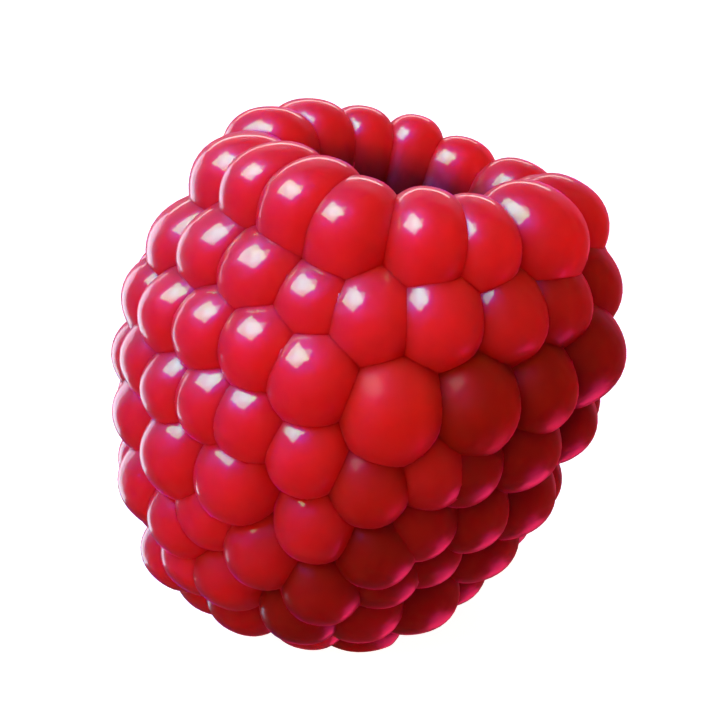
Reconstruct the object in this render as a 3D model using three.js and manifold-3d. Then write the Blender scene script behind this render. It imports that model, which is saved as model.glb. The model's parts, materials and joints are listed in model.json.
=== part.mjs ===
// A raspberry as picked: one fruit of juicy drupelets, grown together round the open hollow that
// the plug leaves behind. It stands on its blunt tip with the hollow up, and leans to one side.
// Millimetres, +Z up. The origin is on the surface that it stands on, under the fruit's middle.
import * as THREE from 'three';
import { mergeVertices } from 'three/addons/utils/BufferGeometryUtils.js';
import Module from 'manifold-3d';

// How the fruit stands
const LEAN = 13.5;                                  // degrees from upright, towards +X
const PIVOT = new THREE.Vector3(-0.4, 0.15, 11);    // the point of its axis that the lean turns about
const SEAT = 12;                                    // half side of the block that flattens the tip

// The drupelets, ring by ring from the rim down. Azimuth 0 faces -Y, and +90 faces +X.
// first: azimuth of drupelet 0. height, radius: where the ring's centres lie. aside: how far the
// ring's middle is off the axis, towards +X. sag: how far it hangs to one side. dip: how far it sinks
// at the front. across, along, deep: half sizes of a drupelet round the fruit, down it and out of
// it. droop: how far its deep axis points below level. hang: how much longer its inner side is, which
// runs down the hollow. moved: drupelets that grew aside, in degrees and in millimetres of height.
// grown: drupelets that grew larger or smaller than the rest.
const RINGS = [
  { count: 14, first: -90, height: 19.2, radius: 6.6, aside: -0.1, sag: 0.6, dip: 0.0,
    across: 1.80, along: 2.08, deep: 2.35, droop: 16, hang: 2.0,
    moved: { 0: [3, -0.7], 1: [1, 0.1], 2: [2, 0.1], 3: [-1, -0.2], 5: [-2, 0], 6: [-2, 0.1], 7: [-2, 0],
      8: [13, -0.6], 9: [10, -0.5], 10: [5, 0.1], 11: [3, 0], 13: [-7, -0.2] },
    grown: { 0: 1.05, 1: 1.05, 2: 1.08, 3: 1.08, 4: 1.05, 6: 1.1, 7: 0.98, 8: 0.85, 9: 0.85, 10: 0.82,
      11: 0.88, 12: 0.97, 13: 0.93 } },
  { count: 17, first: -83, height: 16.95, radius: 7.7, aside: 0.0, sag: 0.6, dip: 0.7,
    across: 1.86, along: 1.88, deep: 2.25, droop: 36,
    moved: { 0: [-5, -1.2], 1: [-5, -0.3], 2: [-1, -0.3], 3: [2, -0.6], 4: [-2, -0.1], 5: [-2, 0],
      6: [2, 0], 7: [-2, 0.2], 8: [-2, 0.2], 16: [0, -1.4] },
    grown: { 0: 1.2, 1: 1.12, 2: 1.08, 4: 1.08, 5: 1.08, 6: 1.05, 8: 1.05, 16: 0.85 } },
  { count: 18, first: -89, height: 14.2, radius: 8.65, aside: 0.0, sag: 0.6, dip: 1.3,
    across: 1.86, along: 1.90, deep: 2.30, droop: 34,
    moved: { 0: [1, -0.9], 1: [-3, -0.4], 2: [-3, -0.2], 4: [-2, 0], 5: [0, 0.1], 6: [5, -0.3],
      7: [7, 0.1], 8: [5, 0.9], 9: [4, 0], 17: [0, -1.2] },
    grown: { 1: 1.05, 4: 1.05, 5: 1.15, 6: 1.1, 7: 1.05, 8: 1.1, 17: 0.9 } },
  { count: 20, first: -79, height: 11.45, radius: 8.6, aside: -0.1, sag: 0.6, dip: 1.5,
    across: 1.80, along: 1.86, deep: 2.30, droop: 40,
    moved: { 0: [1, 0], 1: [-2, -0.3], 7: [-6, -0.3], 8: [-7, 0.1], 9: [-3, 0.3], 19: [4, -1.0] },
    grown: { 9: 0.93, 19: 0.9 } },
  { count: 19, first: -62, height: 8.75, radius: 8.1, aside: -0.2, sag: 0.6, dip: 1.4,
    across: 1.80, along: 1.86, deep: 2.25, droop: 46,
    moved: { 0: [-5, 0], 1: [-9, -0.1], 2: [-2, 0], 3: [5, 0], 4: [5, -0.3], 8: [2, -0.6], 17: [4, -0.3],
      18: [-2, 0] },
    grown: { 0: 0.6, 1: 1.12, 2: 1.08, 8: 0.85, 17: 0.8 } },
  { count: 17, first: -76, height: 6.15, radius: 7.25, aside: -0.4, sag: 0.6, dip: 1.3,
    across: 1.80, along: 1.84, deep: 2.15, droop: 54,
    moved: { 1: [0, -0.5], 2: [-3, 0.5], 6: [-5, 0.5], 16: [3, -0.4] },
    grown: { 0: 1.1, 16: 0.85 } },
  { count: 13, first: -51, height: 3.4, radius: 6.1, aside: -0.4, sag: 0.4, dip: 0.4,
    across: 1.86, along: 1.86, deep: 1.95, droop: 60,
    moved: { 0: [-2, 0.1], 1: [-4, 0.2], 12: [6, -0.7] },
    grown: { 5: 0.93, 12: 0.9 } },
  { count: 9, first: -70, height: 1.6, radius: 4.3, aside: -0.3, sag: 0.1, dip: -0.2,
    across: 1.86, along: 1.86, deep: 1.95, droop: 72 },
  { count: 4, first: -40, height: 1.1, radius: 1.8, aside: -0.2, sag: 0.0, dip: 0.0,
    across: 1.70, along: 1.70, deep: 1.80, droop: 84 },
  // Two that fill the gaps of the rim, each alone
  { count: 1, first: -106, height: 18.0, radius: 6.6, aside: -0.1, sag: 0.0, dip: 0.0,
    across: 1.62, along: 1.90, deep: 2.15, droop: 16, hang: 2.0 },
  { count: 1, first: 108, height: 18.9, radius: 6.6, aside: -0.1, sag: 0.0, dip: 0.0,
    across: 1.62, along: 1.90, deep: 2.15, droop: 16, hang: 2.0 },
];

// Crowding: towards these azimuths the drupelets are drawn by up to so many degrees, from within
// about this reach. A negative draw spreads them.
const CROWDING = [
  { azimuth: -37, draw: 11.4, reach: 37 },
  { azimuth: 26, draw: 7.2, reach: 27 },
  { azimuth: 118, draw: -5, reach: 36 },
];
const SAG_AZIMUTH = -30;    // the side to which the rings hang
const DIP_AZIMUTH = 2;      // where they dip, and how wide the dip is, in degrees
const DIP_WIDTH = 15.5;
const TALL_SHARE = 0.6;     // a drupelet with more room grows this power of its extra width in height

// The flesh under the drupelets, from its foot up the outside to the rim and down the hollow:
// [distance from the axis, height]
const FLESH = [
  [0, 0.8], [3.8, 1.2], [6.0, 2.6], [7.6, 5.4], [8.6, 8.4], [9.1, 11.4], [9.2, 14.2], [8.3, 16.8],
  [7.0, 19.2], [5.8, 18.2],
  [4.9, 15.6], [4.2, 13.4], [3.6, 11.0], [2.8, 8.8], [1.6, 7.2], [0, 6.6],
];

// How finely the surfaces are divided
const DRUPELET_SIDES = 8;
const DRUPELET_BANDS = 5;
const FLESH_SIDES = 14;
const PROUD = 1.03;         // corners stand this much outside the true surface, as its faces cut inside
const WELD = 1e-5;          // corners nearer than this are one

const wasm = await Module();
wasm.setup();

function toSolid(geometry) {
  geometry.deleteAttribute('normal');
  geometry.deleteAttribute('uv');
  const merged = mergeVertices(geometry, WELD);
  const corners = merged.index.array;
  const triangles = [];
  for (let i = 0; i < corners.length; i += 3) {
    const [a, b, c] = corners.slice(i, i + 3);
    if (a !== b && b !== c && c !== a) {
      triangles.push(a, b, c);
    }
  }
  return new wasm.Manifold(new wasm.Mesh({
    numProp: 3,
    vertProperties: new Float32Array(merged.attributes.position.array),
    triVerts: new Uint32Array(triangles),
  }));
}

function toGeometry(solid) {
  const { vertProperties, triVerts } = solid.getMesh();
  const geometry = new THREE.BufferGeometry();
  geometry.setAttribute('position', new THREE.BufferAttribute(vertProperties, 3));
  geometry.setIndex(new THREE.BufferAttribute(triVerts, 1));
  geometry.computeVertexNormals();
  return geometry;
}

// Degrees from one azimuth to another, from -180 to 180
function turnFrom(azimuth, other) {
  return THREE.MathUtils.euclideanModulo(other - azimuth + 180, 360) - 180;
}

function crowded(even) {
  let azimuth = even;
  for (const { azimuth: middle, draw, reach } of CROWDING) {
    const away = turnFrom(middle, even) / reach;
    azimuth -= draw * away * Math.exp((1 - away ** 2) / 2);
  }
  return azimuth;
}

// Where a drupelet's centre lies, and how much more room than an even share it has round the fruit
function place(ring, index) {
  const even = ring.first + 360 * index / ring.count;
  const azimuth = crowded(even);
  const room = crowded(even + 0.5) - crowded(even - 0.5);
  const sag = ring.sag * Math.cos(THREE.MathUtils.degToRad(azimuth - SAG_AZIMUTH));
  const dip = ring.dip * Math.exp(-((turnFrom(DIP_AZIMUTH, azimuth) / DIP_WIDTH) ** 2));
  const [turned, raised] = ring.moved?.[index] ?? [0, 0];
  return { azimuth: azimuth + turned, height: ring.height - sag - dip + raised, room };
}

// Draws the inner side of a ball down, the more the deeper inside. Y is up here, and Z is out.
function hangInside(ball, hang) {
  const points = ball.getAttribute('position');
  for (let i = 0; i < points.count; i += 1) {
    const up = points.getY(i);
    const inward = -points.getZ(i);
    if (up < 0 && inward > 0) {
      points.setY(i, up * (1 + hang * inward));
    }
  }
}

function drupelet(ring, index) {
  const { azimuth, height, room } = place(ring, index);
  const turn = THREE.MathUtils.degToRad(azimuth);
  const droop = THREE.MathUtils.degToRad(ring.droop);
  const away = new THREE.Vector3(Math.sin(turn), -Math.cos(turn), 0);
  const round = new THREE.Vector3(Math.cos(turn), Math.sin(turn), 0);
  const out = away.clone().multiplyScalar(Math.cos(droop)).setZ(-Math.sin(droop));
  const up = new THREE.Vector3().crossVectors(out, round);
  const size = PROUD * (ring.grown?.[index] ?? 1);
  const wide = Math.max(1, room);
  const geometry = new THREE.SphereGeometry(1, DRUPELET_SIDES, DRUPELET_BANDS);
  geometry.rotateX(Math.PI / 2);
  hangInside(geometry, ring.hang ?? 0);
  geometry.scale(size * ring.across * wide, size * ring.along * wide ** TALL_SHARE, size * ring.deep);
  geometry.applyMatrix4(new THREE.Matrix4().makeBasis(round, up, out));
  geometry.translate(away.x * ring.radius + ring.aside, away.y * ring.radius, height);
  return geometry;
}

function flesh() {
  const outline = FLESH.map(([distance, height]) => new THREE.Vector2(distance, height));
  const geometry = new THREE.LatheGeometry(outline, FLESH_SIDES);
  geometry.rotateX(Math.PI / 2);
  return geometry;
}

// Stands the upright fruit as it rests: leaning, with its origin on the surface
function stand(geometry) {
  const onAxis = new THREE.Matrix4().makeTranslation(0, 0, -PIVOT.z);
  const leaning = new THREE.Matrix4().makeRotationY(THREE.MathUtils.degToRad(LEAN));
  const placed = new THREE.Matrix4().makeTranslation(PIVOT);
  return geometry.applyMatrix4(onAxis).applyMatrix4(leaning).applyMatrix4(placed);
}

function fruit() {
  const pieces = [toSolid(stand(flesh()))];
  for (const ring of RINGS) {
    for (let index = 0; index < ring.count; index += 1) {
      pieces.push(toSolid(stand(drupelet(ring, index))));
    }
  }
  const grownTogether = pieces.reduce((whole, piece) => whole.add(piece));
  const seat = new THREE.BoxGeometry(2 * SEAT, 2 * SEAT, 2 * SEAT).translate(0, 0, -SEAT);
  return toGeometry(grownTogether.subtract(toSolid(seat)));
}

const skin = new THREE.MeshStandardMaterial({ color: 0xb3101f, roughness: 0.25, metalness: 0 });
const raspberry = new THREE.Mesh(fruit(), skin);
raspberry.name = 'raspberry';

const model = new THREE.Group();
model.add(raspberry);

export default model;
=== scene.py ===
# %% [markdown]
# # A ripe raspberry, glossy and hollow
#
# A raspberry is not one berry but more than a hundred tiny ones, called drupelets. They grow round
# a white plug, and when the ripe fruit is picked the plug stays behind, so the fruit is a cup.
# The solid part gives its size, its lean and where every drupelet sits. This script grows the same
# fruit again with smooth surfaces and gives it a wet, translucent skin.
#
# First the frame is loaded, and its solid part is kept.

# %% Load the frame
import json
import math

import bmesh
import bpy
import numpy as np
from mathutils import Matrix, Quaternion, Vector

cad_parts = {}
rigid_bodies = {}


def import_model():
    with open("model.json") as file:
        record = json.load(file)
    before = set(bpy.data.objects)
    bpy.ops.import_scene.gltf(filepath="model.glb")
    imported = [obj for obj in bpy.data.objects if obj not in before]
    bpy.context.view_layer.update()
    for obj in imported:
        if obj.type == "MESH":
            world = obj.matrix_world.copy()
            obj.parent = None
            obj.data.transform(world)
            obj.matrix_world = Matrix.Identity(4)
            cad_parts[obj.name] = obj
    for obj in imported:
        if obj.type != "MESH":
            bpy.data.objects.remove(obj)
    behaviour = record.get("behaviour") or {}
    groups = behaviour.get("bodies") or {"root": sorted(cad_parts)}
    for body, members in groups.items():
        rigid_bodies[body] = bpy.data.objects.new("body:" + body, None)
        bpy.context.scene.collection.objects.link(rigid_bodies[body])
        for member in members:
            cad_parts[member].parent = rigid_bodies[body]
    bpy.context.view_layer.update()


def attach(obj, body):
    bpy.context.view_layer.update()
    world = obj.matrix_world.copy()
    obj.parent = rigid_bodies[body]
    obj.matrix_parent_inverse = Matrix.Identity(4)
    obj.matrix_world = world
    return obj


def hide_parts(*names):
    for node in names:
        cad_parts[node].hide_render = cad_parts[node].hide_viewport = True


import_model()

MM = 0.001

# %% [markdown]
# ## The camera
#
# The fruit is seen from a little above and from about four fruits away, with a long lens. Close
# enough that the near rim looks larger than the far one, which is what shows that it is a cup.
# A camera could be turned by hand. Aiming it from an angle, a distance and a target keeps it
# easy to move: it looks along +Y, tipped down by its elevation.

# %% Camera
FRAME_PIXELS = 704
FOCAL_PIXELS = 2185
SENSOR = 36
CAMERA_ELEVATION = 16.1
CAMERA_DISTANCE = 95 * MM
CAMERA_TARGET = Vector((-0.72, 0, 12.02)) * MM
NEAREST_SEEN = 5 * MM
FARTHEST_SEEN = 5

camera = bpy.data.objects.new("camera", bpy.data.cameras.new("camera"))
bpy.context.collection.objects.link(camera)
camera.data.sensor_width = SENSOR
camera.data.lens = SENSOR * FOCAL_PIXELS / FRAME_PIXELS
camera.data.clip_start = NEAREST_SEEN
camera.data.clip_end = FARTHEST_SEEN
tip = math.radians(CAMERA_ELEVATION)
toward_camera = Vector((0, -math.cos(tip), math.sin(tip)))
camera.location = CAMERA_TARGET + CAMERA_DISTANCE * toward_camera
camera.rotation_euler = toward_camera.to_track_quat("Z", "Y").to_euler()
bpy.context.scene.camera = camera
print("the camera's lens, in mm:", round(camera.data.lens, 1))

# %% [markdown]
# ## Where the drupelets sit
#
# On the plant the drupelets sit in rings round the plug, each ring set into the gaps of the one
# above it. They could be scattered by chance, but then they would leave holes and overlap.
# A rule is better: each ring has a count, a height and a radius, and each drupelet gets its even
# share of the ring. Three things then disturb the rule, as they do on the plant. Rings hang lower on
# one side, they dip where the front drupelets are fat, and towards some sides the drupelets crowd.
#
# These are the numbers of the solid part, in millimetres and degrees, with the fruit's axis as Z.
# Azimuth 0 faces -Y, and +90 faces +X. A ring's drupelets have their half sizes across, along and deep,
# and droop is how far they look down. Many on the near side and round the rim are moved, by degrees
# and millimetres, or made larger or smaller. Some of these numbers, such as CROWDING, the sag and most
# of the dips, are rounded results of a least-squares fit to the photo. The others were set one by one.

# %% The rings, from the rim down
RINGS = [
    dict(count=14, first=-90, height=19.2, radius=6.6, aside=-0.1, sag=0.6, dip=0.0,
         across=1.80, along=2.08, deep=2.35, droop=16, hang=2.0,
         moved={0: (3, -0.7), 1: (1, 0.1), 2: (2, 0.1), 3: (-1, -0.2), 5: (-2, 0), 6: (-2, 0.1),
                7: (-2, 0), 8: (13, -0.6), 9: (10, -0.5), 10: (5, 0.1), 11: (3, 0), 13: (-7, -0.2)},
         grown={0: 1.05, 1: 1.05, 2: 1.08, 3: 1.08, 4: 1.05, 6: 1.1, 7: 0.98, 8: 0.85, 9: 0.85, 10: 0.82,
                11: 0.88, 12: 0.97, 13: 0.93}),
    dict(count=17, first=-83, height=16.95, radius=7.7, aside=0.0, sag=0.6, dip=0.7,
         across=1.86, along=1.88, deep=2.25, droop=36,
         moved={0: (-5, -1.2), 1: (-5, -0.3), 2: (-1, -0.3), 3: (2, -0.6), 4: (-2, -0.1), 5: (-2, 0),
                6: (2, 0), 7: (-2, 0.2), 8: (-2, 0.2), 16: (0, -1.4)},
         grown={0: 1.2, 1: 1.12, 2: 1.08, 4: 1.08, 5: 1.08, 6: 1.05, 8: 1.05, 16: 0.85}),
    dict(count=18, first=-89, height=14.2, radius=8.65, aside=0.0, sag=0.6, dip=1.3,
         across=1.86, along=1.90, deep=2.30, droop=34,
         moved={0: (1, -0.9), 1: (-3, -0.4), 2: (-3, -0.2), 4: (-2, 0), 5: (0, 0.1), 6: (5, -0.3),
                7: (7, 0.1), 8: (5, 0.9), 9: (4, 0), 17: (0, -1.2)},
         grown={1: 1.05, 4: 1.05, 5: 1.15, 6: 1.1, 7: 1.05, 8: 1.1, 17: 0.9}),
    dict(count=20, first=-79, height=11.45, radius=8.6, aside=-0.1, sag=0.6, dip=1.5,
         across=1.80, along=1.86, deep=2.30, droop=40,
         moved={0: (1, 0), 1: (-2, -0.3), 7: (-6, -0.3), 8: (-7, 0.1), 9: (-3, 0.3), 19: (4, -1.0)},
         grown={9: 0.93, 19: 0.9}),
    dict(count=19, first=-62, height=8.75, radius=8.1, aside=-0.2, sag=0.6, dip=1.4,
         across=1.80, along=1.86, deep=2.25, droop=46,
         moved={0: (-5, 0), 1: (-9, -0.1), 2: (-2, 0), 3: (5, 0), 4: (5, -0.3), 8: (2, -0.6),
                17: (4, -0.3), 18: (-2, 0)},
         grown={0: 0.6, 1: 1.12, 2: 1.08, 8: 0.85, 17: 0.8}),
    dict(count=17, first=-76, height=6.15, radius=7.25, aside=-0.4, sag=0.6, dip=1.3,
         across=1.80, along=1.84, deep=2.15, droop=54,
         moved={1: (0, -0.5), 2: (-3, 0.5), 6: (-5, 0.5), 16: (3, -0.4)},
         grown={0: 1.1, 16: 0.85}),
    dict(count=13, first=-51, height=3.4, radius=6.1, aside=-0.4, sag=0.4, dip=0.4,
         across=1.86, along=1.86, deep=1.95, droop=60,
         moved={0: (-2, 0.1), 1: (-4, 0.2), 12: (6, -0.7)},
         grown={5: 0.93, 12: 0.9}),
    dict(count=9, first=-70, height=1.6, radius=4.3, aside=-0.3, sag=0.1, dip=-0.2,
         across=1.86, along=1.86, deep=1.95, droop=72),
    dict(count=4, first=-40, height=1.1, radius=1.8, aside=-0.2, sag=0.0, dip=0.0,
         across=1.70, along=1.70, deep=1.80, droop=84),
    # Two that fill the gaps of the rim, each alone
    dict(count=1, first=-106, height=18.0, radius=6.6, aside=-0.1, sag=0.0, dip=0.0,
         across=1.62, along=1.90, deep=2.15, droop=16, hang=2.0),
    dict(count=1, first=108, height=18.9, radius=6.6, aside=-0.1, sag=0.0, dip=0.0,
         across=1.62, along=1.90, deep=2.15, droop=16, hang=2.0),
]
CROWDING = [
    dict(azimuth=-37, draw=11.4, reach=37),
    dict(azimuth=26, draw=7.2, reach=27),
    dict(azimuth=118, draw=-5, reach=36),
]
SAG_AZIMUTH = -30
DIP_AZIMUTH = 2
DIP_WIDTH = 15.5
TALL_SHARE = 0.6
print("drupelets:", sum(ring["count"] for ring in RINGS))

# %% How the fruit stands
LEAN = 13.5
PIVOT = Vector((-0.4, 0.15, 11))
LEANED = Matrix.Rotation(math.radians(LEAN), 4, "Y")
STAND = Matrix.Translation(PIVOT) @ LEANED @ Matrix.Translation((0, 0, -PIVOT.z))
print("the fruit leans by", LEAN, "degrees")


# %% The rule that places one drupelet
def turn_from(azimuth, other):
    """Degrees from one azimuth to another, from -180 to 180."""
    return (other - azimuth + 180) % 360 - 180


def crowded(even):
    """The azimuth where a drupelet ends up that would have sat at an even share of its ring."""
    azimuth = even
    for crowd in CROWDING:
        away = turn_from(crowd["azimuth"], even) / crowd["reach"]
        azimuth -= crowd["draw"] * away * math.exp((1 - away**2) / 2)
    return azimuth


def place(ring, index):
    """(azimuth, height, share of room round the fruit) of one drupelet."""
    even = ring["first"] + 360 * index / ring["count"]
    azimuth = crowded(even)
    room = crowded(even + 0.5) - crowded(even - 0.5)
    sag = ring["sag"] * math.cos(math.radians(azimuth - SAG_AZIMUTH))
    dip = ring["dip"] * math.exp(-((turn_from(DIP_AZIMUTH, azimuth) / DIP_WIDTH) ** 2))
    turned, raised = ring.get("moved", {}).get(index, (0, 0))
    return azimuth + turned, ring["height"] - sag - dip + raised, room


print("the first drupelet's azimuth, height and room:", [round(part, 2) for part in place(RINGS[0], 0)])


# %% Every drupelet's place, size and tilt
def drupelet_matrix(ring, index):
    """Carries a ball of radius 1 to the drupelet's place: its X goes round the fruit, Z out of it."""
    azimuth, height, room = place(ring, index)
    turn = math.radians(azimuth)
    droop = math.radians(ring["droop"])
    away = Vector((math.sin(turn), -math.cos(turn), 0))
    around = Vector((math.cos(turn), math.sin(turn), 0))
    out = away * math.cos(droop) - Vector((0, 0, math.sin(droop)))
    up = out.cross(around)
    size = ring.get("grown", {}).get(index, 1)
    wide = max(1, room)
    across = around * size * (ring["across"] * wide)
    along = up * size * (ring["along"] * wide**TALL_SHARE)
    deep = out * size * ring["deep"]
    matrix = Matrix((across, along, deep)).transposed().to_4x4()
    matrix.translation = away * ring["radius"] + Vector((ring["aside"], 0, height))
    return STAND @ matrix


places = [drupelet_matrix(ring, index) for ring in RINGS for index in range(ring["count"])]
hangs = [ring.get("hang", 0) for ring in RINGS for _ in range(ring["count"])]
print("placed", len(places), "drupelets")

# %% [markdown]
# ## The drupelets
#
# A ripe drupelet is a bag of juice. Its skin is stretched tight, so it is nearly a ball, and where it
# meets its neighbours it is pressed a little square. A plain ball would do from far away. Here each
# one is a rounded box instead: the sum of the three distances, each raised to a power a little
# above 2, is held at 1. The power gives how square it is. The rim's drupelets also hang down a long
# way on their inner side, where they line the hollow.

# %% One drupelet as a mesh
SQUARENESS = 2.25
BALL_DETAIL = 4


def rounded(direction):
    """The point of the rounded ball of half size 1 that lies in this direction."""
    spread = sum(abs(part) ** SQUARENESS for part in direction) ** (1 / SQUARENESS)
    return direction / spread


def longer(up, out, hang):
    """How many times longer than a plain ball a drupelet is here: only inside, and only downward."""
    return 1 + hang * np.maximum(0, -out) * (up < 0)


print("a corner of the rounded ball lies at", round(rounded(Vector((1, 1, 1))).length, 3))


# %% All the drupelets
def drupelet_object(name, matrix, hang, collection):
    """One drupelet as an object of its own, in the collection."""
    mesh = bpy.data.meshes.new(name)
    ball = bmesh.new()
    bmesh.ops.create_icosphere(ball, subdivisions=BALL_DETAIL, radius=1)
    for vertex in ball.verts:
        point = rounded(vertex.co)
        point.y *= longer(point.y, point.z, hang)
        vertex.co = matrix @ point
    ball.to_mesh(mesh)
    ball.free()
    piece = bpy.data.objects.new(name, mesh)
    collection.objects.link(piece)
    return piece


cluster = bpy.data.collections.new("drupelets")
bpy.context.scene.collection.children.link(cluster)
for number, (matrix, hang) in enumerate(zip(places, hangs)):
    drupelet_object(f"drupelet_{number}", matrix, hang, cluster)

# %% [markdown]
# ## The flesh and the hollow
#
# Behind the drupelets their sides have grown together into one wall, and inside it is the hollow
# that the plug left. A cone cut out of a ball would make it in two steps. One outline spun round the
# axis makes both sides of the cup at once: it runs from the foot up the outside, over the rim
# and down into the hollow.

# %% The cup of flesh
FLESH = [
    (0, 0.8), (3.8, 1.2), (6.0, 2.6), (7.6, 5.4), (8.6, 8.4), (9.1, 11.4), (9.2, 14.2), (8.3, 16.8),
    (7.0, 19.2), (5.8, 18.2),
    (4.9, 15.6), (4.2, 13.4), (3.6, 11.0), (2.8, 8.8), (1.6, 7.2), (0, 6.6),
]
FLESH_SIDES = 96


def spun(name, outline, sides):
    """The outline, which starts on the axis, turned round Z."""
    solid = bmesh.new()
    rings = []
    for distance, height in outline:
        turns = [2 * math.pi * side / sides for side in range(sides if distance else 1)]
        around = [(distance * math.cos(turn), distance * math.sin(turn), height) for turn in turns]
        rings.append([solid.verts.new(point) for point in around])
    for low, high in zip(rings, rings[1:]):
        for side in range(sides):
            after = (side + 1) % sides
            corners = [low[side % len(low)], low[after % len(low)]]
            corners += [high[after % len(high)], high[side % len(high)]]
            solid.faces.new(list(dict.fromkeys(corners)))
    bmesh.ops.triangulate(solid, faces=solid.faces)
    mesh = bpy.data.meshes.new(name)
    solid.to_mesh(mesh)
    solid.free()
    return bpy.data.objects.new(name, mesh)


fruit = spun("raspberry_fruit", FLESH, FLESH_SIDES)
fruit.data.transform(STAND)
bpy.context.collection.objects.link(fruit)
print("the cup has", len(fruit.data.polygons), "faces")

# %% [markdown]
# ## Grown together
#
# The drupelets and the wall are one body. Left as separate balls they would hide a hundred walls
# inside each other, and light that enters the skin would meet them. One Boolean union joins the whole
# collection and throws the inner walls away. Then everything below the table top is cut off: the
# weight of the fruit presses its lowest drupelets flat there.

# %% One union
def apply_modifiers(piece):
    """Turns what the modifiers make of a piece into its own mesh."""
    evaluated = piece.evaluated_get(bpy.context.evaluated_depsgraph_get())
    joined = bpy.data.meshes.new_from_object(evaluated)
    piece.modifiers.clear()
    piece.data = joined


union = fruit.modifiers.new("grown together", "BOOLEAN")
union.operation = "UNION"
union.operand_type = "COLLECTION"
union.collection = cluster
union.solver = "MANIFOLD"
apply_modifiers(fruit)
for piece in list(cluster.objects):
    bpy.data.meshes.remove(piece.data)
bpy.data.collections.remove(cluster)
print("the union has", len(fruit.data.polygons), "faces")

# %% The flat spots underneath
TABLE_BLOCK = 30

table_block = bpy.data.meshes.new("table block")
block = bmesh.new()
bmesh.ops.create_cube(block, size=TABLE_BLOCK, matrix=Matrix.Translation((0, 0, -TABLE_BLOCK / 2)))
block.to_mesh(table_block)
block.free()
table_cutter = bpy.data.objects.new("table cutter", table_block)
bpy.context.collection.objects.link(table_cutter)
flatten = fruit.modifiers.new("pressed flat", "BOOLEAN")
flatten.operation = "DIFFERENCE"
flatten.object = table_cutter
flatten.solver = "MANIFOLD"
apply_modifiers(fruit)
bpy.data.meshes.remove(table_block)
print("the grown fruit has", len(fruit.data.polygons), "faces")

# %% [markdown]
# ## Smooth skin and crisp creases
#
# Smooth shading averages the faces round each point. In a crease that would blend two drupelets and
# leave smudges. Each face knows better: it lies on one drupelet, whose true surface has a true
# normal at every corner. So each corner takes the normal of the drupelet that its own face lies on.
# The same sums tell how near each point is to the next drupelet, and that is kept for the skin.

# %% Which drupelet each face lies on
ON_SURFACE = 0.02


def carried(points, matrix):
    """The points, a row each, carried by a matrix."""
    return points @ matrix[:3, :3].T + matrix[:3, 3]


def nearness(points):
    """For each drupelet, how far outside its surface each point lies, in millimetres."""
    every = np.empty((len(places), len(points)))
    for number, matrix in enumerate(places):
        local = carried(points, np.array(matrix.inverted()))
        local[:, 1] /= longer(local[:, 1], local[:, 2], hangs[number])
        size = np.mean([matrix.to_3x3().col[axis].length for axis in range(3)])
        every[number] = ((np.abs(local) ** SQUARENESS).sum(1) ** (1 / SQUARENESS) - 1) * size
    return every


mesh = fruit.data
corner_points = np.empty(len(mesh.vertices) * 3)
mesh.vertices.foreach_get("co", corner_points)
corner_points = corner_points.reshape(-1, 3)
face_points = np.array([face.center for face in mesh.polygons])
face_nearness = nearness(face_points)
owner = np.abs(face_nearness).argmin(0)
on_flesh = np.abs(face_nearness).min(0) > ON_SURFACE
print("faces on the wall of flesh:", int(on_flesh.sum()))

# %% The true normal of a drupelet
def true_normals(points, number):
    """The way that a drupelet's own surface faces at each of these points on it."""
    back = np.array(places[number].inverted())
    local = carried(points, back)
    stretch = longer(local[:, 1], local[:, 2], hangs[number])
    local[:, 1] /= stretch
    slope = np.sign(local) * np.abs(local) ** (SQUARENESS - 1)
    slope[:, 2] += slope[:, 1] * local[:, 1] * hangs[number] / stretch * (stretch > 1)
    slope[:, 1] /= stretch
    normal = slope @ back[:3, :3]
    return normal / np.linalg.norm(normal, axis=1, keepdims=True)


print("normals are worked out for", len(places), "drupelets")

# %% A normal for each corner of each face
FACING_DOWN = -0.999
AT_THE_TABLE = 0.001
NO_DIVIDE_BY_ZERO = 1e-12

face_sizes = np.array([face.loop_total for face in mesh.polygons])
corner_vertex = np.empty(len(mesh.loops), dtype=int)
mesh.loops.foreach_get("vertex_index", corner_vertex)
corner_face = np.repeat(np.arange(len(mesh.polygons)), face_sizes)
face_normals = np.array([face.normal for face in mesh.polygons])
normals = face_normals[corner_face]
seat_face = (face_normals[:, 2] < FACING_DOWN) & (face_points[:, 2] < AT_THE_TABLE)
flat_face = on_flesh | seat_face
for number in range(len(places)):
    mine = (owner[corner_face] == number) & ~flat_face[corner_face]
    normals[mine] = true_normals(corner_points[corner_vertex[mine]], number)
print("corners given a true normal:", int((~flat_face[corner_face]).sum()))

# %% Averaged normals on the wall of flesh, which no drupelet gives
wall_corner = (on_flesh & ~seat_face)[corner_face]
wall_sum = np.zeros((len(mesh.vertices), 3))
np.add.at(wall_sum, corner_vertex[wall_corner], face_normals[corner_face[wall_corner]])
wall_sum /= np.linalg.norm(wall_sum, axis=1, keepdims=True) + NO_DIVIDE_BY_ZERO
normals[wall_corner] = wall_sum[corner_vertex[wall_corner]]
print("corners given an averaged normal:", int(wall_corner.sum()))

# %% [markdown]
# ## What the skin is told
#
# The colour of this raspberry changes from place to place: creases get painted shade, some drupelets
# are riper, one side gets painted shade, and the hollow gets painted shade too. All that could be
# painted on a picture wrapped round the fruit. Numbers kept on the mesh need no picture and stay sharp
# at any size: the material reads them by name. The first is how far a point is from the nearest crease.

# %% Creases
CREASE_REACH = 0.8
DEEP_IN_A_CREASE = 0.05


def keep_values(mesh, name, domain, values):
    """Stores one number for each point or face, which a material reads by this name."""
    layer = mesh.attributes.new(name, "FLOAT", domain)
    layer.data.foreach_set("value", np.asarray(values, dtype=np.float32))


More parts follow.
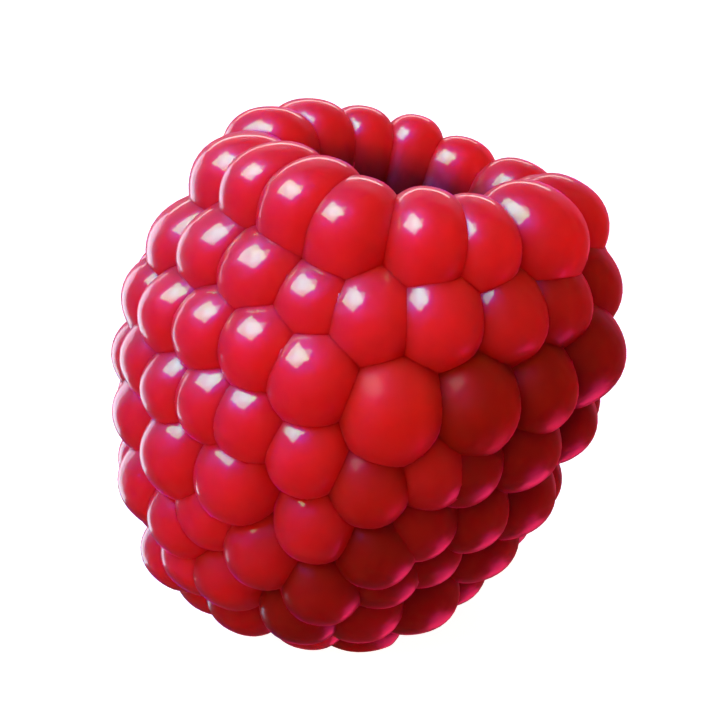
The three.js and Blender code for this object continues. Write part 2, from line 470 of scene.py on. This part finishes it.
nearest, second = np.sort(np.abs(nearness(corner_points)), axis=0)[:2]
in_the_open = nearest < ON_SURFACE
keep_values(mesh, "crease", "POINT", np.clip(second / CREASE_REACH, 0, 1) * in_the_open)
print("points in a crease:", int((second < DEEP_IN_A_CREASE).sum()))

# %% [markdown]
# ## Which drupelets are riper, and the side given painted shade
#
# A raspberry ripens unevenly, and this one also gets painted shade: its colour darkens toward one
# side, low down toward +X, away from the lamps. It is taken for ripe here, though it may only lie in
# shade. Each drupelet gets one number from 0, bright, to 1, dark: it follows how far the drupelet lies
# toward that side, with a little chance for uneven ripening, and the chance has a seed so that it falls
# the same way each time. Fifteen drupelets are shifted, some painted darker and some lighter than the
# rule gives, and four have a dull, satin skin. Fifteen drupelets break the rule, being ahead of or
# behind the rest, and four have a dull, satin skin. The side and the fifteen follow from comparing each
# drupelet's colour in the photo and in a render.

# %% Ripeness and painted shade, one number for a drupelet
# The side painted dark as shade, away from the lamps, and the span over which that painted shade grows.
SHADED_SIDE = Vector((0.73, -0.20, -0.65)).normalized()
SHADED_SIDE_FROM = 0.6
SHADED_SIDE_FULL = 4.5
UNEVEN = 0.08
CHANCE_SEED = 7
# Drupelets painted darker (plus) and lighter (minus) than the rule gives.
SHADE_AND_RIPENESS_SHIFTS = {
    (0, 8): 0.4, (1, 12): 0.4, (2, 6): 0.12, (4, 6): 0.4, (4, 7): 0.6, (0, 9): 0.25,
    (2, 8): -0.2, (3, 6): -0.3, (4, 3): -0.25, (4, 5): -0.3, (5, 4): -0.12,
    (6, 3): -0.6, (6, 4): -0.75, (7, 2): -0.7, (7, 3): -0.2,
}
SATIN = {(2, 5): 1.0, (2, 6): 1.0, (3, 5): 0.85, (2, 7): 0.6}


def number_of(ring, index):
    """A drupelet's number among all of them."""
    return sum(above["count"] for above in RINGS[:ring]) + index


toward_shade = np.array([(matrix.translation - PIVOT).dot(SHADED_SIDE) for matrix in places])
toward_shade = (toward_shade - SHADED_SIDE_FROM) / (SHADED_SIDE_FULL - SHADED_SIDE_FROM)
ripeness_and_shade = toward_shade + UNEVEN * (np.random.default_rng(CHANCE_SEED).random(len(places)) - 0.5)
satin = np.zeros(len(places))
for spot, shift in SHADE_AND_RIPENESS_SHIFTS.items():
    ripeness_and_shade[number_of(*spot)] += shift
for spot, amount in SATIN.items():
    satin[number_of(*spot)] = amount
keep_values(mesh, "ripeness_and_shade", "FACE", np.clip(ripeness_and_shade, 0, 1)[owner])
keep_values(mesh, "satin", "FACE", satin[owner])
print("drupelets more than half ripe:", int((ripeness_and_shade > 0.5).sum()))

# %% [markdown]
# ## The inside of the hollow
#
# In the hollow the skin gets painted shade, a darker colour, and less wet film. The lamps alone
# would leave it bright, because light glows through the thin walls. So the points near the fruit's
# axis and below its rim are marked. The fruit is stood upright in the sums first: then near the axis
# is just a radius.

# %% Mark the hollow
HOLLOW_RADIUS = 5.4
HOLLOW_TOP = 20.3
HOLLOW_LOWEST = 5
WALL_FADE = 0.8
RIM_FADE = 1.2

inside = carried(corner_points, np.array(STAND.inverted()))
from_axis = np.hypot(inside[:, 0], inside[:, 1])
hollow = np.clip((HOLLOW_RADIUS - from_axis) / WALL_FADE, 0, 1)
hollow *= np.clip((HOLLOW_TOP - inside[:, 2]) / RIM_FADE, 0, 1)
hollow *= inside[:, 2] > HOLLOW_LOWEST
keep_values(mesh, "hollow", "POINT", hollow)
print("points in the hollow:", int((hollow > 0.5).sum()))

# %% [markdown]
# ## Into metres, and onto the frame
#
# So far every number was in millimetres, which reads well at this size. Blender and the frame count
# in metres, so the mesh is scaled at the end. Scaling the object would do it too, but then its
# textures and its glow would be a thousand times off. The normals are set last, once nothing changes
# the mesh any more. The fine fruit then takes the solid one's place.

# %% The fine fruit takes the solid one's place
mesh.transform(Matrix.Scale(MM, 4))
mesh.normals_split_custom_set(normals)
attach(fruit, "root")
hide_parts("raspberry")
print("the fine fruit has", len(mesh.polygons), "faces and", len(mesh.vertices), "points")

# %% [markdown]
# ## The skin, node by node
#
# A material is a small graph: nodes read something, change it and hand it on. Wiring each by hand
# takes three lines, so a few helpers do the common ones. One reads a number off the mesh, one turns
# a number into a colour or another number, one mixes two of them, and one makes soft noise.

# %% Helpers for the skin
skin = bpy.data.materials.new("raspberry skin")
skin.use_nodes = True
nodes = skin.node_tree.nodes
links = skin.node_tree.links
surface = nodes["Principled BSDF"]


def node(kind, **settings):
    """A new node of this kind."""
    made = nodes.new(kind)
    for name, value in settings.items():
        setattr(made, name, value)
    return made


def as_color(value):
    """A colour for a socket: a plain number becomes a grey."""
    return (value, value, value, 1) if isinstance(value, (int, float)) else (*value, 1)


def stored(name):
    """Reads a number that is kept on the mesh."""
    return node("ShaderNodeAttribute", attribute_name=name).outputs["Fac"]


print("the skin starts from", surface.name)


# %% More helpers: ramps, mixes and noise
def ramp(value, stops):
    """Turns a number into a colour or another number, by two (place, value) stops."""
    made = node("ShaderNodeValToRGB")
    links.new(value, made.inputs["Fac"])
    for element, (place_on_ramp, there) in zip(made.color_ramp.elements, stops):
        element.position = place_on_ramp
        element.color = as_color(there)
    return made.outputs["Color"]


def mixed(factor, first, second):
    """The first where the factor is 0, the second where it is 1."""
    made = node("ShaderNodeMix", data_type="RGBA")
    for value, name in ((factor, 0), (first, 6), (second, 7)):
        if isinstance(value, bpy.types.NodeSocket):
            links.new(value, made.inputs[name])
        else:
            made.inputs[name].default_value = as_color(value) if name else value
    return made.outputs[2]


def noise(scale, detail):
    """Soft noise, with about this many lumps to a metre."""
    made = node("ShaderNodeTexNoise")
    made.inputs["Scale"].default_value = scale
    made.inputs["Detail"].default_value = detail
    links.new(node("ShaderNodeTexCoord").outputs["Object"], made.inputs["Vector"])
    return made.outputs["Fac"]


print("the skin has", len(nodes), "nodes so far")

# %% [markdown]
# ## Juice colour and painted shade
#
# The red is not in the skin but in the juice behind it. It runs from a clear red in a drupelet that
# has just ripened to a deep dark red, and the same ramp paints shade on the side away from the lamps.
# On top of it come a faint mottle, about a millimetre wide, a painted shade line in each crease, and
# painted shade in the hollow, a brown red.

# %% Base colour
FRESH_JUICE = (0.63, 0.020, 0.022)
# The dark end: ripe red, and also painted shade on the side away from the lamps.
RIPE_AND_SHADED_JUICE = (0.205, 0.010, 0.002)
MOTTLE_SCALE = 900
MOTTLE_KEEPS = 0.88
# Painted shade in the creases: a darker red, mixed in close to each crease.
CREASE_SHADE_RED = (0.28, 0.002, 0.002)
CREASE_SHADE_MIX = 0.35
CREASE_SHADE_WIDTH = 0.14
# Painted shade in the hollow.
HOLLOW_SHADE_RED = (0.13, 0.007, 0.001)

juice_and_shade = ramp(stored("ripeness_and_shade"), [(0, FRESH_JUICE), (1, RIPE_AND_SHADED_JUICE)])
darker = mixed(MOTTLE_KEEPS, 0, juice_and_shade)
mottled = mixed(ramp(noise(MOTTLE_SCALE, 2), [(0.3, 0), (0.8, 1)]), juice_and_shade, darker)
crease_shaded = mixed(ramp(stored("crease"), [(0, CREASE_SHADE_MIX), (CREASE_SHADE_WIDTH, 0)]), mottled, CREASE_SHADE_RED)
hollow_shaded = mixed(stored("hollow"), crease_shaded, HOLLOW_SHADE_RED)
links.new(hollow_shaded, surface.inputs["Base Color"])
print("the colour reads ripeness, crease and hollow")

# %% [markdown]
# ## Light inside the flesh
#
# Light goes into a drupelet, bounces about in the juice and comes out somewhere else. Juice lets
# red through for millimetres and stops green and blue at once. Transparent glass would show the
# wall behind each drupelet, which a ripe one hides. Subsurface scattering gives the glow without it.
# The scale is the distance that light travels, and the radius gives each colour its share of it.

# %% Subsurface scattering
GLOW_DISTANCE = 6.0 * MM

surface.inputs["Subsurface Weight"].default_value = 1.0
surface.inputs["Subsurface Radius"].default_value = (1.0, 0.04, 0.02)
surface.inputs["Subsurface Scale"].default_value = GLOW_DISTANCE
print("light travels", round(GLOW_DISTANCE / MM, 1), "mm in the flesh")

# %% [markdown]
# ## Relief of the skin
#
# The skin is tight but not perfect: it has shallow dimples about a millimetre across, and a grain
# that only shows in the highlights. Real bumps so small would take millions of faces. A bump node
# leaves the shape alone and only bends the light, and two in a row add up.

# %% Dimples and grain
DIMPLE_DEPTH = 0.14 * MM
DIMPLE_SCALE = 1000
GRAIN_DEPTH = 0.05 * MM
GRAIN_SCALE = 6000


def bump(strength, depth, height, under=None):
    """A bump node, on top of another one if that is given."""
    made = node("ShaderNodeBump")
    made.inputs["Strength"].default_value = strength
    made.inputs["Distance"].default_value = depth
    links.new(height, made.inputs["Height"])
    if under:
        links.new(under, made.inputs["Normal"])
    return made.outputs["Normal"]


dimples = bump(0.5, DIMPLE_DEPTH, noise(DIMPLE_SCALE, 1))
grain = bump(0.02, GRAIN_DEPTH, noise(GRAIN_SCALE, 3), dimples)
links.new(grain, surface.inputs["Normal"])
print("two layers of relief")

# %% [markdown]
# ## Two layers of gloss
#
# A raspberry shines twice. The wet outermost film gives small, hard, white highlights: that is the
# coat, very smooth, with a low index of refraction, so that it shines more at the edges. Under
# it the waxy skin gives a wide soft shine round them, which looks magenta on red flesh. Its tint is
# nearly blue, because the red is already there. Riper drupelets are less wet and shine redder, and
# in creases and in the hollow there is almost no film.

# %% The waxy skin
FRESH_TINT = (0.0, 0.02, 1.0)
RIPE_TINT = (0.15, 0.0, 0.3)
SATIN_TINT = (0.45, 0.0, 0.22)
FRESH_ROUGHNESS = 0.40
RIPE_ROUGHNESS = 0.34
SATIN_ROUGHNESS = 0.5

ripe = ramp(stored("ripeness_and_shade"), [(0.05, 0), (0.55, 0.5)])
tint = mixed(ripe, FRESH_TINT, RIPE_TINT)
tint = mixed(stored("satin"), tint, SATIN_TINT)
dull = ramp(stored("ripeness_and_shade"), [(0.2, FRESH_ROUGHNESS), (0.7, RIPE_ROUGHNESS)])
dull = mixed(stored("satin"), dull, SATIN_ROUGHNESS)
links.new(tint, surface.inputs["Specular Tint"])
links.new(dull, surface.inputs["Roughness"])
surface.inputs["IOR"].default_value = 1.6
surface.inputs["Specular IOR Level"].default_value = 0.7
print("the waxy skin reads ripeness and satin")

# %% The wet film
FRESH_FILM = 0.9
RIPE_FILM = 0.14
HOLLOW_FILM = 0.15
SATIN_FILM = 0.06
CREASE_DRY = 0.15

wet = ramp(stored("ripeness_and_shade"), [(0.2, FRESH_FILM), (0.7, RIPE_FILM)])
polish = mixed(ramp(stored("crease"), [(0, 0), (CREASE_DRY, 1)]), 0, wet)
polish = mixed(stored("hollow"), polish, HOLLOW_FILM)
polish = mixed(stored("satin"), polish, SATIN_FILM)
links.new(polish, surface.inputs["Coat Weight"])
surface.inputs["Coat Roughness"].default_value = 0.015
surface.inputs["Coat IOR"].default_value = 1.3
print("the wet film reads ripeness, crease, hollow and satin")

# %% [markdown]
# ## Bloom
#
# Seen at a slant, a fresh raspberry has a faint pink bloom: short down that is too fine to see
# catches the light. Hairs would need millions of strands. The sheen of the shader is made for this:
# it only shows at a slant. With it the skin is done, and the fruit puts it on.

# %% Sheen, and the skin onto the fruit
surface.inputs["Sheen Weight"].default_value = 0.6
surface.inputs["Sheen Roughness"].default_value = 0.22
surface.inputs["Sheen Tint"].default_value = (1.0, 0.03, 0.35, 1)
fruit.data.materials.clear()
fruit.data.materials.append(skin)
print("the skin has", len(nodes), "nodes")

# %% [markdown]
# ## The floor
#
# The fruit lies on a clean white sweep: a floor that turns up far away, so that no edge shows. A white
# board would do, but it would throw its light and its mirror image onto the wet skin from below.
# This one glows evenly by itself and the fruit's light rays don't meet it. It lies a hair below
# the fruit's flat spots, so that the two never fight for the same place.

# %% Floor
FLOOR_DROP = 0.02 * MM
FLOOR = [(0, -FLOOR_DROP), (0.8, -FLOOR_DROP), (1.2, 0.1), (1.5, 0.5), (1.6, 1.2)]
FLOOR_SIDES = 48
FLOOR_GLOW = 0.97

floor = spun("floor", FLOOR, FLOOR_SIDES)
bpy.context.collection.objects.link(floor)
floor.visible_glossy = False
floor.visible_diffuse = False
floor.visible_shadow = False
print("the floor reaches", FLOOR[-1][0], "m out")

# %% The floor's paint
pale = bpy.data.materials.new("pale floor")
pale.use_nodes = True
pale_surface = pale.node_tree.nodes["Principled BSDF"]
pale_surface.inputs["Base Color"].default_value = (0.5, 0.5, 0.5, 1)
pale_surface.inputs["Roughness"].default_value = 0.9
pale_surface.inputs["Specular IOR Level"].default_value = 0
pale_surface.inputs["Emission Color"].default_value = (1, 1, 1, 1)
pale_surface.inputs["Emission Strength"].default_value = FLOOR_GLOW
floor.data.materials.append(pale)
print("the floor glows at", FLOOR_GLOW)

# %% [markdown]
# ## Lights for the flesh
#
# A bright highlight needs a strong lamp, and a strong lamp makes the flesh pale. A studio can take the
# highlight away with polarising filters. In Blender each lamp has a switch for it: these are seen by
# the flesh alone, never by the gloss. They are soft boxes, a third of a metre away: the main one from
# the upper left, warm ones from above and in front, and coloured ones that lift the shadows.

# %% Lamps seen by the flesh alone
FRUIT_MIDDLE = Vector((0, 0, 0.011))
LAMP_DISTANCE = 0.30
FLESH_LAMPS = [
    dict(name="key", toward=(-0.72, -0.46, 0.52), size=(0.16, 0.16), watts=0.36, color=(1, 0.9, 1)),
    dict(name="overhead", toward=(0.28, -0.20, 0.94), size=(0.14, 0.14), watts=0.54, color=(1, 0.7, 0.3)),
    dict(name="warm fill", toward=(-0.25, -0.86, 0.44), size=(0.25, 0.25), watts=0.66,
         color=(1, 0.65, 0.15), distance=0.35),
    dict(name="cool glow", toward=(-0.82, 0.05, 0.57), size=(0.12, 0.12), watts=2.0, color=(0, 0, 1)),
    dict(name="low card", toward=(-0.35, -0.75, -0.56), size=(0.20, 0.20), watts=0.42, color=(1, 0.4, 0.6)),
    dict(name="back fill", toward=(-0.30, 0.92, 0.22), size=(0.20, 0.20), watts=0.50, color=(1, 0.7, 0.4)),
    dict(name="edge glow", toward=(0.85, 0.30, -0.40), size=(0.20, 0.20), watts=1.3, color=(1, 0.3, 0.4)),
]


def softbox(name, toward, size, watts, color, distance=LAMP_DISTANCE, roll=0):
    """A rectangular lamp that looks at the fruit from this direction, in metres and degrees."""
    data = bpy.data.lights.new(name, "AREA")
    data.shape = "RECTANGLE"
    data.size, data.size_y = size
    data.energy = watts
    data.color = color
    light = bpy.data.objects.new(name, data)
    bpy.context.collection.objects.link(light)
    away = Vector(toward).normalized()
    light.location = FRUIT_MIDDLE + away * distance
    turned = away.to_track_quat("Z", "Y") @ Quaternion((0, 0, 1), math.radians(roll))
    light.rotation_euler = turned.to_euler()
    return light


for lamp in FLESH_LAMPS:
    softbox(**lamp).visible_glossy = False
print("lamps for the flesh:", len(FLESH_LAMPS))

# %% [markdown]
# ## Lights for the gloss
#
# What makes a thing look wet is what it mirrors. A window at the upper left, with a second pane
# turned against it, gives each drupelet its white patch, and a patch with corners reads as a window
# where a round one would read as a bulb. Wide cards behind the fruit draw the light lines along
# its edges, and a pink card below gives the dark side its gleam. The window's colour is greenish, to
# make up for the red that the skin adds.

# %% Lamps seen by the gloss alone
WINDOW = (0.27, 0.98, 0.37)
SECOND_PANE = (0.24, 0.98, 0.38)
GLOSS_LAMPS = [
    dict(name="window", toward=(-0.50, -0.22, 0.85), size=(0.23, 0.17), watts=2.9, color=WINDOW),
    dict(name="second pane", toward=(-0.34, -0.27, 0.90), size=(0.15, 0.12), watts=0.75,
         color=SECOND_PANE, roll=32),
    dict(name="back card", toward=(0.0, 0.97, 0.25), size=(0.70, 0.50), watts=0.7,
         color=(1, 0.12, 0.25), distance=0.35),
    dict(name="left edge", toward=(-0.68, 0.72, -0.08), size=(0.14, 0.28), watts=0.36,
         color=(0.7, 0.95, 1.0)),
    dict(name="top edge", toward=(-0.10, 0.90, 0.45), size=(0.30, 0.03), watts=0.16, color=(0.7, 0.8, 0.7)),
    dict(name="pink card", toward=(0.58, 0.26, -0.80), size=(0.30, 0.12), watts=0.52, color=(1, 0.03, 0.14)),
]

for lamp in GLOSS_LAMPS:
    light = softbox(**lamp)
    light.visible_diffuse = False
    light.visible_transmission = False
print("lamps for the gloss:", len(GLOSS_LAMPS))

# %% [markdown]
# ## The air around
#
# A little even light from everywhere keeps the deepest creases from going black. The picture is then
# shown by the Standard view, which leaves white white and red red. The usual one would soften both.

# %% World and view
WORLD_GLOW = 0.03

world = bpy.data.worlds.new("world")
bpy.context.scene.world = world
world.use_nodes = True
background = world.node_tree.nodes["Background"]
background.inputs["Color"].default_value = (1, 1, 1, 1)
background.inputs["Strength"].default_value = WORLD_GLOW
bpy.context.scene.view_settings.view_transform = "Standard"
print("even light:", WORLD_GLOW)
